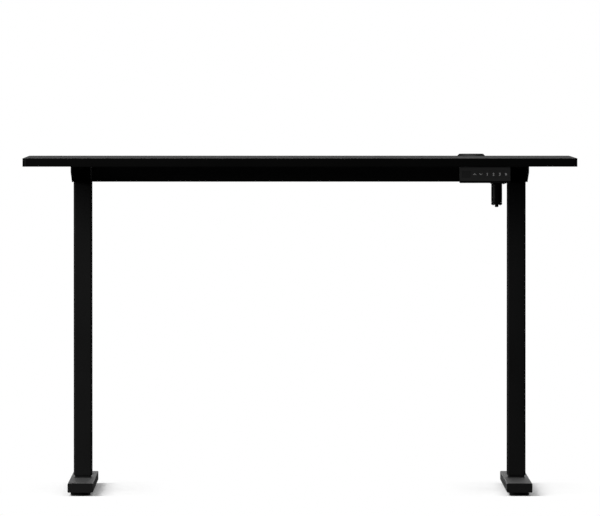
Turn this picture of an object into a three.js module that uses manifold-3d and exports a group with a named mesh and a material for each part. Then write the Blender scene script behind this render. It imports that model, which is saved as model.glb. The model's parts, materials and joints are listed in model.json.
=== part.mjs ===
// A two-column electric standing desk at its lowest height.
// Millimetres. +X right, +Y to the back, +Z up. The origin is on the floor under the middle.

import * as THREE from 'three';
import { mergeVertices } from 'three/addons/utils/BufferGeometryUtils.js';
import Module from 'manifold-3d';

const wasm = await Module();
wasm.setup();

// ---------------------------------------------------------------- driving dimensions

const GAP = 0.3; // between pieces that touch
const HAIR = 0.25; // running clearance of the slide rings
const OVER = 2; // how far a cutting tool runs past the face it cuts
const SIDES = { hole: 10, bore: 16, round: 24, fine: 28 }; // flats round a cylinder
const CORNER_STEPS = 2; // per quarter turn of a rounded corner, doubled by Shape

const DESK = { width: 1200, depth: 600, thick: 18, top: 730, corner: 8 };
const UNDERSIDE = DESK.top - DESK.thick;
const FRAME_TOP = UNDERSIDE - GAP;
const FRAME_BOTTOM = 676.4;

const COLUMN_X = 475;
const OUTER = { w: 40, d: 70, wall: 1.5, corner: 4, bottom: 35.3, top: 674.7 };
const INNER = { w: 35, d: 65, wall: 1.5, corner: 3, bottom: 27.8, top: 650 };
const FITTING_CORNER = 1.2; // of the plugs inside the inner tube
const COLLAR = { lip: 1.8, length: 42 };
const SHOE = { bottom: 600, top: 648 };
const BEARING = { h: 9, corner: 2 };
const BASE_PLATE = { h: 8, thread: 3.4 };

const FOOT = { w: 55, h: 20, length: 630, wall: 2, bottom: 7.5, corner: 2 };
const FOOT_CAP = { flange: 3, plug: 12, wall: 2, corner: 0.7 };
const FOOT_BOLT = { x: 9, y: 22, shank: 4.5, head: 8 };
const PAD = { r: 21.5, h: FOOT.bottom - GAP, y: 275, edge: 1.5, hole: 4.6 };
const STUD = { r: 4, top: 21, edge: 1 };

const ARM = { wall: 1.5, length: 500, endHeight: 12, taper: 130 };
const ARM_SCREWS_Y = [-225, -140, 140, 225];
const ARM_SCREW_R = 3.2;
const HEAD = { depth: 100, wall: 2.6, floor: 3, top: 709.8, clear: 2 };
const CROSSBAR = { y: 38, w: 20, wall: 1.5, corner: 2.5 };

const SHAFT = { z: 693, acrossFlats: 8, start: -477, end: 489 };
const COLUMN_GEAR = { teeth: 16, r: 11.5, face: 6, addendum: 1.0, dedendum: 1.5 };
const MOTOR_GEAR = { teeth: 14, r: 10, face: 5, addendum: 1.0, dedendum: 1.5 };
const TOOTH = { root: 0.32, pitch: 0.19, tip: 0.1 }; // half widths, in shares of a tooth's pitch
const GEARBOX = { half: 17, wall: 2.5, floor: 1.1, top: 706, cover: 2, shaftHole: 5.6, clear: 1 };
const SCREW = { r: 6, bottom: 60, tip: 1.5, collar: 8, collarH: 4, journal: 5, seat: 3.6 };
const SCREW_BELOW_GEAR = 0.5; // top of the screw below the top of its gear
const NUT = { r: 10, flange: 15, flangeH: 4, bore: 6.35, h: 26 };
const CARRIER = { flange: 3, plug: 20 };

const MOTOR = { x: 432.2, r: 12, bottom: 625.5, capH: 5, bossR: 4, bossH: 5.3, edge: 1 };
const MOTOR_SHAFT = { r: 4, clear: 0.5, inCan: 11, socket: 12 };
const MOTOR_HOUSING = { bottom: 672, inner: 418 };

const KEYPAD = { left: 345.2, right: 455, bottom: 676.6, front: -297, depth: 24, corner: 3 };
const KEYPAD_STEP = { h: 4.4, depth: 7 }; // the face overhangs the lower shell
const KEYPAD_PLUG = { half: 10, depth: 8, bottom: 686, top: 698 };
const KEY_ROOM = 3; // behind a key, for its switch and travel
const KEY = { first: 377.9, pitch: 13.5, w: 13.2, h: 15, thick: 3, z: 695.7 };
const LENS = { w: 19, h: 15, x: 359.4, thick: 1.5 };
const KEY_NAMES = ['up', 'down', 'preset_1', 'preset_2', 'preset_3', 'memory'];

const GROMMET = { x: 381, y: 235, hole: 27, flange: 31, top: 735, rim: 27.4, bore: 22.5, cap: 24.4 };
const REBATE = { r: 31.6, depth: 0.8 }; // seats the flange in the board
const SLEEVE_BELOW = 4; // the board's underside
const CAP = { under: 731.5, top: 734.6, slotW: 14, slotInner: 10 };

const BOX = { x: 150, y: 130, w: 190, d: 70, h: 31.5, corner: 4, socketDepth: 12 };
const SOCKETS = [
  { y: 115, w: 24, h: 18 },
  { y: 140, w: 12, h: 10 },
  { y: 156, w: 12, h: 10 },
];

// ---------------------------------------------------------------- worked out from those

const ARM_INSIDE = OUTER.w + 2 * GAP;
const ARM_WIDTH = ARM_INSIDE + 2 * ARM.wall;
const GEARBOX_BOTTOM = OUTER.top + GAP + HEAD.floor + GAP;
const GEARBOX_HALF_X = OUTER.w / 2 - HEAD.wall - GAP;
const SCREW_HOLE = SCREW.journal + HEAD.clear;

// ---------------------------------------------------------------- materials

const finish = (color, roughness, metalness) => () =>
  new THREE.MeshStandardMaterial({ color, roughness, metalness });

const LAMINATE = finish(0x0b0b0c, 0.5, 0);
const COATED_STEEL = finish(0x131315, 0.55, 0.2);
const PLASTIC = finish(0x101011, 0.6, 0);
const GLOSS_PLASTIC = finish(0x060607, 0.15, 0);
const RUBBER = finish(0x080808, 0.9, 0);
const ZINC = finish(0x9a9c9e, 0.35, 1);
const STEEL = finish(0x6f7174, 0.3, 1);
const BRASS = finish(0xb08d45, 0.35, 1);
const NYLON = finish(0xd8d4c8, 0.6, 0);

// ---------------------------------------------------------------- solid helpers

function toSolid(geometry) {
  const bare = geometry.clone();
  bare.deleteAttribute('normal');
  bare.deleteAttribute('uv');
  const merged = mergeVertices(bare, 1e-4);
  return new wasm.Manifold(
    new wasm.Mesh({
      numProp: 3,
      vertProperties: new Float32Array(merged.attributes.position.array),
      triVerts: new Uint32Array(merged.index.array),
    }),
  );
}

function toGeometry(solid) {
  const mesh = solid.getMesh();
  const geometry = new THREE.BufferGeometry();
  geometry.setAttribute('position', new THREE.BufferAttribute(mesh.vertProperties, 3));
  geometry.setIndex(new THREE.BufferAttribute(mesh.triVerts, 1));
  return geometry;
}

function cut(base, ...tools) {
  return toGeometry(tools.reduce((left, tool) => left.subtract(toSolid(tool)), toSolid(base)));
}

function join(base, ...others) {
  return toGeometry(others.reduce((whole, other) => whole.add(toSolid(other)), toSolid(base)));
}

// A box by its limits along each axis.
function slab([x0, x1], [y0, y1], [z0, z1]) {
  return new THREE.BoxGeometry(x1 - x0, y1 - y0, z1 - z0)
    .translate((x0 + x1) / 2, (y0 + y1) / 2, (z0 + z1) / 2);
}

function roundedRectangle(w, h, r) {
  const shape = new THREE.Shape();
  shape.moveTo(-w / 2 + r, -h / 2);
  shape.absarc(w / 2 - r, -h / 2 + r, r, -Math.PI / 2, 0);
  shape.absarc(w / 2 - r, h / 2 - r, r, 0, Math.PI / 2);
  shape.absarc(-w / 2 + r, h / 2 - r, r, Math.PI / 2, Math.PI);
  shape.absarc(-w / 2 + r, -h / 2 + r, r, Math.PI, 1.5 * Math.PI);
  return shape;
}

function extrude(shape, depth, curveSegments = CORNER_STEPS) {
  return new THREE.ExtrudeGeometry(shape, { depth, bevelEnabled: false, curveSegments });
}

// An upright prism of rounded rectangular section.
function post(w, d, r, [z0, z1]) {
  return extrude(roundedRectangle(w, d, r), z1 - z0).translate(0, 0, z0);
}

function disc(r, [z0, z1], segments = SIDES.round) {
  return new THREE.CylinderGeometry(r, r, z1 - z0, segments)
    .rotateX(Math.PI / 2)
    .translate(0, 0, (z0 + z1) / 2);
}

// A round bar along X.
function crossDisc(r, [x0, x1], segments = SIDES.bore) {
  return disc(r, [x0, x1], segments).rotateY(Math.PI / 2);
}

// A solid of revolution about Z from [radius, height] points.
function revolve(profile, segments = SIDES.round) {
  const points = profile.map(([r, z]) => new THREE.Vector2(r, z));
  return new THREE.LatheGeometry(points, segments).rotateX(Math.PI / 2);
}

const desk = new THREE.Group();

function place(name, geometry, material, [x, y, z] = [0, 0, 0]) {
  const mesh = new THREE.Mesh(geometry, material());
  mesh.name = name;
  mesh.position.set(x, y, z);
  desk.add(mesh);
  return mesh;
}

// ---------------------------------------------------------------- desktop and grommet

function desktop() {
  const board = post(DESK.width, DESK.depth, DESK.corner, [UNDERSIDE, DESK.top]);
  const hole = disc(GROMMET.hole, [UNDERSIDE - OVER, DESK.top + OVER], SIDES.fine)
    .translate(GROMMET.x, GROMMET.y, 0);
  const rebate = disc(REBATE.r, [DESK.top - REBATE.depth, DESK.top + OVER], SIDES.fine)
    .translate(GROMMET.x, GROMMET.y, 0);
  place('desktop', cut(board, hole, rebate), LAMINATE);
}

function grommet() {
  const ledge = CAP.under - GAP;
  const bottom = UNDERSIDE - SLEEVE_BELOW;
  const flangeUnder = DESK.top - REBATE.depth + GAP;
  const crownH = GROMMET.top - DESK.top;
  const crownW = GROMMET.flange - GROMMET.rim;
  const outline = [
    [GROMMET.hole - GAP, bottom],
    [GROMMET.hole - GAP, flangeUnder],
    [GROMMET.flange, flangeUnder],
    [GROMMET.flange - crownW / 6, DESK.top + crownH / 2],
    [GROMMET.flange - crownW / 2, DESK.top + 0.75 * crownH],
    [GROMMET.rim, GROMMET.top],
    [0, GROMMET.top],
  ];
  const sleeve = revolve([[0, bottom], ...outline], SIDES.fine);
  const bore = disc(GROMMET.bore, [bottom - OVER, GROMMET.top + OVER], SIDES.fine);
  const seat = disc(GROMMET.cap + GAP, [ledge, GROMMET.top + OVER], SIDES.fine);
  place('grommet_sleeve', cut(sleeve, bore, seat), PLASTIC, [GROMMET.x, GROMMET.y, 0]);

  const lid = disc(GROMMET.cap, [CAP.under, CAP.top], SIDES.fine);
  const slot = slab(
    [-CAP.slotW / 2, CAP.slotW / 2],
    [CAP.slotInner, GROMMET.cap + OVER],
    [CAP.under - OVER, CAP.top + OVER],
  );
  place('grommet_cap', cut(lid, slot), PLASTIC, [GROMMET.x, GROMMET.y, 0]);
}

// ---------------------------------------------------------------- arms and crossbars

// An inverted channel along Y, shallower at both ends. Its inner flange faces +X.
function armGeometry() {
  const half = ARM.length / 2;
  const profile = new THREE.Shape([
    new THREE.Vector2(-half, FRAME_TOP - ARM.endHeight),
    new THREE.Vector2(-half + ARM.taper, FRAME_BOTTOM),
    new THREE.Vector2(half - ARM.taper, FRAME_BOTTOM),
    new THREE.Vector2(half, FRAME_TOP - ARM.endHeight),
    new THREE.Vector2(half, FRAME_TOP),
    new THREE.Vector2(-half, FRAME_TOP),
  ]);
  const body = extrude(profile, ARM_WIDTH)
    .rotateX(Math.PI / 2)
    .rotateZ(Math.PI / 2)
    .translate(-ARM_WIDTH / 2, 0, 0);
  const channel = slab(
    [-ARM_INSIDE / 2, ARM_INSIDE / 2],
    [-half - OVER, half + OVER],
    [FRAME_BOTTOM - OVER, FRAME_TOP - ARM.wall],
  );
  const notch = slab(
    [ARM_INSIDE / 2 - OVER, ARM_WIDTH / 2 + OVER],
    [-GEARBOX.half - GEARBOX.clear, GEARBOX.half + GEARBOX.clear],
    [FRAME_BOTTOM - OVER, HEAD.top],
  );
  const screwHoles = ARM_SCREWS_Y.map((y) =>
    disc(ARM_SCREW_R, [FRAME_TOP - ARM.wall - OVER, FRAME_TOP + OVER], SIDES.hole).translate(0, y, 0),
  );
  return cut(body, channel, notch, ...screwHoles);
}

function crossbar(name, y) {
  const half = COLUMN_X - ARM_WIDTH / 2 - GAP;
  const height = FRAME_TOP - FRAME_BOTTOM;
  const middle = (FRAME_TOP + FRAME_BOTTOM) / 2;
  const section = roundedRectangle(height, CROSSBAR.w, CROSSBAR.corner);
  const inside = [height - 2 * CROSSBAR.wall, CROSSBAR.w - 2 * CROSSBAR.wall];
  section.holes.push(roundedRectangle(...inside, CROSSBAR.corner - CROSSBAR.wall));
  const tube = extrude(section, 2 * half).rotateY(Math.PI / 2);
  place(name, tube, COATED_STEEL, [-half, y, middle]);
}

// ---------------------------------------------------------------- columns

function hollowPost(size, [z0, z1]) {
  const shape = roundedRectangle(size.w, size.d, size.corner);
  const inside = roundedRectangle(
    size.w - 2 * size.wall,
    size.d - 2 * size.wall,
    size.corner - size.wall,
  );
  shape.holes.push(inside);
  return extrude(shape, z1 - z0).translate(0, 0, z0);
}

// The thin slide rings fill the space between the two tubes, less a running clearance.
function slideRing([z0, z1]) {
  const ring = {
    w: OUTER.w - 2 * OUTER.wall - 2 * HAIR,
    d: OUTER.d - 2 * OUTER.wall - 2 * HAIR,
    wall: (OUTER.w - 2 * OUTER.wall - INNER.w) / 2 - 2 * HAIR,
    corner: INNER.corner,
  };
  return hollowPost(ring, [z0, z1]);
}

function collarGeometry() {
  const lipBottom = OUTER.bottom - GAP - COLLAR.lip;
  const lip = hollowPost(
    { w: OUTER.w, d: OUTER.d, wall: (OUTER.w - INNER.w) / 2 - HAIR, corner: OUTER.corner },
    [lipBottom, OUTER.bottom - GAP],
  );
  return join(lip, slideRing([lipBottom, lipBottom + COLLAR.length]));
}

function bearingBlockGeometry() {
  const w = OUTER.w - 2 * OUTER.wall - 2 * GAP;
  const d = OUTER.d - 2 * OUTER.wall - 2 * GAP;
  const bottom = OUTER.top - BEARING.h;
  const block = post(w, d, BEARING.corner, [bottom, OUTER.top]);
  return cut(block, disc(SCREW.journal + GAP, [bottom - OVER, OUTER.top + OVER], SIDES.bore));
}

// An open-topped steel box that joins the outer tube to the arm and holds the gearbox.
function headGeometry() {
  const bottom = OUTER.top + GAP;
  const half = OUTER.w / 2;
  const body = slab([-half, half], [-HEAD.depth / 2, HEAD.depth / 2], [bottom, HEAD.top]);
  const hollow = slab(
    [-half + HEAD.wall, half - HEAD.wall],
    [-HEAD.depth / 2 - OVER, HEAD.depth / 2 + OVER],
    [bottom + HEAD.floor, HEAD.top + OVER],
  );
  const way = slab(
    [half - HEAD.wall - OVER, half + OVER],
    [-GEARBOX.half - GEARBOX.clear, GEARBOX.half + GEARBOX.clear],
    [bottom + HEAD.floor, HEAD.top + OVER],
  );
  const hole = disc(SCREW_HOLE, [bottom - OVER, bottom + HEAD.floor + OVER], SIDES.bore);
  return cut(body, hollow, way, hole);
}

function innerTubeFittings(side, x) {
  const w = INNER.w - 2 * INNER.wall - 2 * GAP;
  const d = INNER.d - 2 * INNER.wall - 2 * GAP;

  const baseTop = INNER.bottom + BASE_PLATE.h;
  const base = post(w, d, FITTING_CORNER, [INNER.bottom, baseTop]);
  const threads = footBolts(BASE_PLATE.thread, [INNER.bottom - OVER, baseTop + OVER]);
  place(`base_plate_${side}`, cut(base, ...threads), ZINC, [x, 0, 0]);

  const flangeBottom = INNER.top + GAP;
  const flangeTop = flangeBottom + CARRIER.flange;
  const plug = post(w, d, FITTING_CORNER, [flangeBottom - CARRIER.plug, flangeTop]);
  const flange = post(INNER.w, INNER.d, INNER.corner, [flangeBottom, flangeTop]);
  const seat = disc(NUT.r + GAP, [flangeBottom - CARRIER.plug - OVER, flangeTop + OVER], SIDES.bore);
  place(`nut_carrier_${side}`, cut(join(plug, flange), seat), PLASTIC, [x, 0, 0]);

  const nutTop = flangeTop + GAP + NUT.flangeH;
  const nutBody = disc(NUT.r, [nutTop - NUT.h, nutTop], SIDES.bore);
  const nutFlange = disc(NUT.flange, [flangeTop + GAP, nutTop], SIDES.bore);
  const bore = disc(NUT.bore, [nutTop - NUT.h - OVER, nutTop + OVER], SIDES.bore);
  place(`drive_nut_${side}`, cut(join(nutBody, nutFlange), bore), BRASS, [x, 0, 0]);
}

function leadScrewGeometry() {
  const collarTop = OUTER.top - BEARING.h - GAP;
  const collarBottom = collarTop - SCREW.collarH;
  const journalTop = GEARBOX_BOTTOM;
  const top = SHAFT.z - COLUMN_GEAR.r + COLUMN_GEAR.face - SCREW_BELOW_GEAR;
  return revolve(
    [
      [0, SCREW.bottom],
      [SCREW.r - SCREW.tip, SCREW.bottom],
      [SCREW.r, SCREW.bottom + SCREW.tip],
      [SCREW.r, collarBottom],
      [SCREW.collar, collarBottom],
      [SCREW.collar, collarTop],
      [SCREW.journal, collarTop],
      [SCREW.journal, journalTop],
      [SCREW.seat, journalTop],
      [SCREW.seat, top],
      [0, top],
    ],
    SIDES.bore,
  );
}

// ---------------------------------------------------------------- feet

function footBolts(r, [z0, z1]) {
  const bolts = [];
  for (const x of [-FOOT_BOLT.x, FOOT_BOLT.x]) {
    for (const y of [-FOOT_BOLT.y, FOOT_BOLT.y]) {
      bolts.push(disc(r, [z0, z1], SIDES.hole).translate(x, y, 0));
    }
  }
  return bolts;
}

function footGeometry() {
  const length = FOOT.length - 2 * (FOOT_CAP.flange + GAP);
  const top = FOOT.bottom + FOOT.h;
  const section = roundedRectangle(FOOT.w, FOOT.h, FOOT.corner);
  section.holes.push(
    roundedRectangle(FOOT.w - 2 * FOOT.wall, FOOT.h - 2 * FOOT.wall, FOOT.corner / 2),
  );
  const tube = extrude(section, length)
    .rotateX(Math.PI / 2)
    .translate(0, length / 2, FOOT.bottom + FOOT.h / 2);
  const shanks = footBolts(FOOT_BOLT.shank, [top - FOOT.wall - OVER, top + OVER]);
  const heads = footBolts(FOOT_BOLT.head, [FOOT.bottom - OVER, FOOT.bottom + FOOT.wall + OVER]);
  const studs = [-PAD.y, PAD.y].map((y) =>
    disc(PAD.hole, [FOOT.bottom - OVER, FOOT.bottom + FOOT.wall + OVER], SIDES.hole).translate(0, y, 0),
  );
  return cut(tube, ...shanks, ...heads, ...studs);
}

// A plastic plug with its flange facing -Y.
function footCapGeometry() {
  const w = FOOT.w - 2 * FOOT.wall - 2 * GAP;
  const h = FOOT.h - 2 * FOOT.wall - 2 * GAP;
  const flange = extrude(roundedRectangle(FOOT.w, FOOT.h, FOOT.corner), FOOT_CAP.flange);
  const plug = extrude(roundedRectangle(w, h, FOOT_CAP.corner), FOOT_CAP.flange + FOOT_CAP.plug);
  const hollow = slab(
    [-w / 2 + FOOT_CAP.wall, w / 2 - FOOT_CAP.wall],
    [-h / 2 + FOOT_CAP.wall, h / 2 - FOOT_CAP.wall],
    [FOOT_CAP.flange, FOOT_CAP.flange + FOOT_CAP.plug + OVER],
  );
  return cut(join(flange, plug), hollow).rotateX(-Math.PI / 2);
}

function padGeometry() {
  return revolve(
    [
      [0, 0],
      [PAD.r - PAD.edge, 0],
      [PAD.r, PAD.edge],
      [PAD.r, PAD.h],
      [STUD.r, PAD.h],
      [STUD.r, STUD.top - STUD.edge],
      [STUD.r - STUD.edge, STUD.top],
      [0, STUD.top],
    ],
    SIDES.round,
  );
}

function foot(side, x) {
  place(`foot_${side}`, footGeometry(), COATED_STEEL, [x, 0, 0]);
  const capZ = FOOT.bottom + FOOT.h / 2;
  place(`foot_cap_${side}_front`, footCapGeometry(), PLASTIC, [x, -FOOT.length / 2, capZ]);
  place(`foot_cap_${side}_rear`, footCapGeometry(), PLASTIC, [x, FOOT.length / 2, capZ])
    .rotation.z = Math.PI;
  place(`levelling_pad_${side}_front`, padGeometry(), RUBBER, [x, -PAD.y, 0]);
  place(`levelling_pad_${side}_rear`, padGeometry(), RUBBER, [x, PAD.y, 0]);
}

// ---------------------------------------------------------------- gears and gearboxes

// A straight bevel gear at 45 degrees. Its back is at z = 0 and its cone apex at z = r.
// A tooth points along +X, or a gap does if halfPitch is set.
function bevelGear(gear, bores, halfPitch = false) {
  const pitch = (2 * Math.PI) / gear.teeth;
  const root = gear.r - gear.dedendum;
  const tip = gear.r + gear.addendum;
  const outline = [
    [root, -TOOTH.root],
    [gear.r, -TOOTH.pitch],
    [tip, -TOOTH.tip],
    [tip, TOOTH.tip],
    [gear.r, TOOTH.pitch],
    [root, TOOTH.root],
  ];
  const points = [];
  for (let tooth = 0; tooth < gear.teeth; tooth += 1) {
    const middle = (tooth + (halfPitch ? 0.5 : 0)) * pitch;
    for (const [r, share] of outline) {
      const angle = middle + share * pitch;
      points.push(new THREE.Vector2(r * Math.cos(angle), r * Math.sin(angle)));
    }
  }
  const blank = extrude(new THREE.Shape(points), gear.face);
  const position = blank.attributes.position;
  for (let i = 0; i < position.count; i += 1) {
    const shrink = 1 - position.getZ(i) / gear.r;
    position.setX(i, position.getX(i) * shrink);
    position.setY(i, position.getY(i) * shrink);
  }
  return cut(blank, ...bores);
}

function hexagon(acrossFlats) {
  const r = acrossFlats / Math.sqrt(3);
  const corners = [];
  for (let i = 0; i < 6; i += 1) {
    const angle = (i * Math.PI) / 3;
    corners.push(new THREE.Vector2(r * Math.cos(angle), r * Math.sin(angle)));
  }
  return new THREE.Shape(corners);
}

// A gear on the drive shaft: its back faces +X and its mesh point is below the shaft. Its number
// of teeth is even, so a tooth points straight down.
function shaftGear(name, gear, x) {
  const bore = extrude(hexagon(SHAFT.acrossFlats + 2 * GAP), gear.face + 2 * OVER)
    .translate(0, 0, -OVER);
  place(name, bevelGear(gear, [bore]).rotateY(-Math.PI / 2), STEEL, [x + gear.r, 0, SHAFT.z]);
}

// A gear on a screw: its back faces down and a gap faces its mesh point at +X.
function screwGear(side, x) {
  const bore = disc(SCREW.seat + GAP, [-OVER, COLUMN_GEAR.face + OVER], SIDES.bore);
  const geometry = bevelGear(COLUMN_GEAR, [bore], true);
  place(`screw_gear_${side}`, geometry, STEEL, [x, 0, SHAFT.z - COLUMN_GEAR.r]);
}

function gearboxCavity([x0, x1]) {
  return slab(
    [x0 + GEARBOX.wall, x1 - GEARBOX.wall],
    [-GEARBOX.half + GEARBOX.wall, GEARBOX.half - GEARBOX.wall],
    [GEARBOX_BOTTOM + GEARBOX.floor, GEARBOX.top + OVER],
  );
}

function gearboxLid([x0, x1]) {
  return slab(
    [x0, x1],
    [-GEARBOX.half, GEARBOX.half],
    [GEARBOX.top + GAP, GEARBOX.top + GAP + GEARBOX.cover],
  );
}

function gearboxLeft() {
  const x = [-COLUMN_X - GEARBOX_HALF_X, -COLUMN_X + GEARBOX_HALF_X];
  const body = slab(x, [-GEARBOX.half, GEARBOX.half], [GEARBOX_BOTTOM, GEARBOX.top]);
  const screwHole = disc(SCREW_HOLE, [GEARBOX_BOTTOM - OVER, GEARBOX_BOTTOM + OVER], SIDES.bore)
    .translate(-COLUMN_X, 0, 0);
  const shaftHole = crossDisc(GEARBOX.shaftHole, [-COLUMN_X, x[1] + OVER])
    .translate(0, 0, SHAFT.z);
  place('gearbox_left', cut(body, gearboxCavity(x), screwHole, shaftHole), PLASTIC);
  place('gearbox_cover_left', gearboxLid(x), PLASTIC);
}

// The right gearbox reaches inwards past the arm, where the motor hangs from it.
function gearboxRight() {
  const split = COLUMN_X - ARM_WIDTH / 2 - GAP;
  const x = [MOTOR_HOUSING.inner, COLUMN_X + GEARBOX_HALF_X];
  const y = [-GEARBOX.half, GEARBOX.half];
  const main = slab(x, y, [GEARBOX_BOTTOM, GEARBOX.top]);
  const drop = slab([x[0], split], y, [MOTOR_HOUSING.bottom, GEARBOX_BOTTOM + GEARBOX.floor]);
  const wall = COLUMN_X - GEARBOX_HALF_X;
  const columnCavity = gearboxCavity([wall, x[1]]);
  const motorCavity = gearboxCavity([x[0], split]);
  const throughFloor = [MOTOR_HOUSING.bottom - OVER, GEARBOX_BOTTOM + OVER];
  const screwHole = disc(SCREW_HOLE, throughFloor, SIDES.bore).translate(COLUMN_X, 0, 0);
  const motorHole = disc(MOTOR_SHAFT.r + 2 * MOTOR_SHAFT.clear, throughFloor, SIDES.bore)
    .translate(MOTOR.x, 0, 0);
  const shaftHole = crossDisc(GEARBOX.shaftHole, [x[0] - OVER, COLUMN_X])
    .translate(0, 0, SHAFT.z);
  const body = cut(join(main, drop), columnCavity, motorCavity, screwHole, motorHole, shaftHole);
  place('gearbox_right', body, PLASTIC);
  place('gearbox_cover_right', gearboxLid(x), PLASTIC);
}

function driveShaft() {
  const bar = extrude(hexagon(SHAFT.acrossFlats), SHAFT.end - SHAFT.start).rotateY(Math.PI / 2);
  place('drive_shaft', bar, ZINC, [SHAFT.start, 0, SHAFT.z]);
  shaftGear('shaft_gear_left', COLUMN_GEAR, -COLUMN_X);
  shaftGear('shaft_gear_right', COLUMN_GEAR, COLUMN_X);
  shaftGear('motor_gear', MOTOR_GEAR, MOTOR.x);
}

// ---------------------------------------------------------------- motor

function motor() {
  const top = MOTOR_HOUSING.bottom - GAP;
  const socket = MOTOR_SHAFT.r + MOTOR_SHAFT.clear;
  const capTop = MOTOR.bottom + MOTOR.capH;
  const bossBottom = MOTOR.bottom - MOTOR.bossH;
  const can = revolve([
    [0, capTop + GAP],
    [MOTOR.r, capTop + GAP],
    [MOTOR.r, top],
    [socket, top],
    [socket, top - MOTOR_SHAFT.socket],
    [0, top - MOTOR_SHAFT.socket],
  ]);
  place('motor_can', can, COATED_STEEL, [MOTOR.x, 0, 0]);

  const cap = revolve([
    [0, bossBottom],
    [MOTOR.bossR - MOTOR.edge, bossBottom],
    [MOTOR.bossR, bossBottom + MOTOR.edge],
    [MOTOR.bossR, MOTOR.bottom],
    [MOTOR.r - MOTOR.edge, MOTOR.bottom],
    [MOTOR.r, MOTOR.bottom + MOTOR.edge],
    [MOTOR.r, capTop],
    [0, capTop],
  ]);
  place('motor_end_cap', cap, PLASTIC, [MOTOR.x, 0, 0]);

  const gearBack = SHAFT.z - MOTOR_GEAR.r;
  const rod = disc(MOTOR_SHAFT.r, [top - MOTOR_SHAFT.inCan, gearBack + MOTOR_GEAR.face / 2], SIDES.bore);
  const pinion = bevelGear(MOTOR_GEAR, [], true).translate(0, 0, gearBack);
  place('motor_pinion', join(rod, pinion), STEEL, [MOTOR.x, 0, 0]);
}

// ---------------------------------------------------------------- keypad and control box

function keypad() {
  const width = KEYPAD.right - KEYPAD.left;
  const middle = (KEYPAD.left + KEYPAD.right) / 2;
  const height = FRAME_TOP - KEYPAD.bottom;
  const back = KEYPAD.front + KEYPAD.depth;
  const lastKey = KEY.first + KEY.pitch * (KEY_NAMES.length - 1);
  const body = extrude(roundedRectangle(width, height, KEYPAD.corner), KEYPAD.depth)
    .rotateX(Math.PI / 2)
    .translate(middle, back, (FRAME_TOP + KEYPAD.bottom) / 2);
  const keyWell = slab(
    [KEY.first - KEY.w / 2 - GAP, lastKey + KEY.w / 2 + GAP],
    [KEYPAD.front - OVER, KEYPAD.front + KEY.thick + KEY_ROOM],
    [KEY.z - KEY.h / 2 - GAP, KEY.z + KEY.h / 2 + GAP],
  );
  const lensWell = slab(
    [LENS.x - LENS.w / 2 - GAP, LENS.x + LENS.w / 2 + GAP],
    [KEYPAD.front - OVER, KEYPAD.front + LENS.thick + GAP],
    [KEY.z - LENS.h / 2 - GAP, KEY.z + LENS.h / 2 + GAP],
  );
  const plug = slab(
    [middle - KEYPAD_PLUG.half, middle + KEYPAD_PLUG.half],
    [back - KEYPAD_PLUG.depth, back + OVER],
    [KEYPAD_PLUG.bottom, KEYPAD_PLUG.top],
  );
  const step = slab(
    [KEYPAD.left - OVER, KEYPAD.right + OVER],
    [KEYPAD.front - OVER, KEYPAD.front + KEYPAD_STEP.depth],
    [KEYPAD.bottom - OVER, KEYPAD.bottom + KEYPAD_STEP.h],
  );
  place('keypad_housing', cut(body, keyWell, lensWell, plug, step), PLASTIC);

  const lens = slab(
    [-LENS.w / 2, LENS.w / 2],
    [KEYPAD.front, KEYPAD.front + LENS.thick],
    [-LENS.h / 2, LENS.h / 2],
  );
  place('display_lens', lens, GLOSS_PLASTIC, [LENS.x, 0, KEY.z]);

  KEY_NAMES.forEach((name, i) => {
    const key = slab([-KEY.w / 2, KEY.w / 2], [0, KEY.thick], [-KEY.h / 2, KEY.h / 2]);
    place(`key_${name}`, key, PLASTIC, [KEY.first + i * KEY.pitch, KEYPAD.front, KEY.z]);
  });
}

function controlBox() {
  const bottom = FRAME_TOP - BOX.h;
  const end = BOX.x + BOX.w / 2;
  const body = post(BOX.w, BOX.d, BOX.corner, [bottom, FRAME_TOP]).translate(BOX.x, BOX.y, 0);
  const middle = bottom + BOX.h / 2;
  const sockets = SOCKETS.map(({ y, w, h }) =>
    slab([end - BOX.socketDepth, end + OVER], [y - w / 2, y + w / 2], [middle - h / 2, middle + h / 2]),
  );
  place('control_box', cut(body, ...sockets), PLASTIC);
}

// ---------------------------------------------------------------- assembly

function column(side, x) {
  const turned = side === 'right' ? Math.PI : 0; // the inner flange faces the other column
  place(`side_arm_${side}`, armGeometry(), COATED_STEEL, [x, 0, 0]).rotation.z = turned;
  place(`column_head_${side}`, headGeometry(), COATED_STEEL, [x, 0, 0]).rotation.z = turned;
  const outer = hollowPost(OUTER, [OUTER.bottom, OUTER.top]);
  place(`outer_tube_${side}`, outer, COATED_STEEL, [x, 0, 0]);
  const inner = hollowPost(INNER, [INNER.bottom, INNER.top]);
  place(`inner_tube_${side}`, inner, COATED_STEEL, [x, 0, 0]);
  place(`slide_collar_${side}`, collarGeometry(), PLASTIC, [x, 0, 0]);
  place(`slide_shoe_${side}`, slideRing([SHOE.bottom, SHOE.top]), NYLON, [x, 0, 0]);
  place(`bearing_block_${side}`, bearingBlockGeometry(), PLASTIC, [x, 0, 0]);
  place(`lead_screw_${side}`, leadScrewGeometry(), STEEL, [x, 0, 0]);
  innerTubeFittings(side, x);
  screwGear(side, x);
  foot(side, x);
}

desktop();
grommet();
column('left', -COLUMN_X);
column('right', COLUMN_X);
crossbar('crossbar_front', -CROSSBAR.y);
crossbar('crossbar_rear', CROSSBAR.y);
gearboxLeft();
gearboxRight();
driveShaft();
motor();
keypad();
controlBox();

export default desk;
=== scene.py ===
"""A height adjustable standing desk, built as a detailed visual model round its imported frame."""

import json
import math

import bmesh
import bpy
from mathutils import Matrix, Vector
from mathutils.geometry import tessellate_polygon


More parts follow.
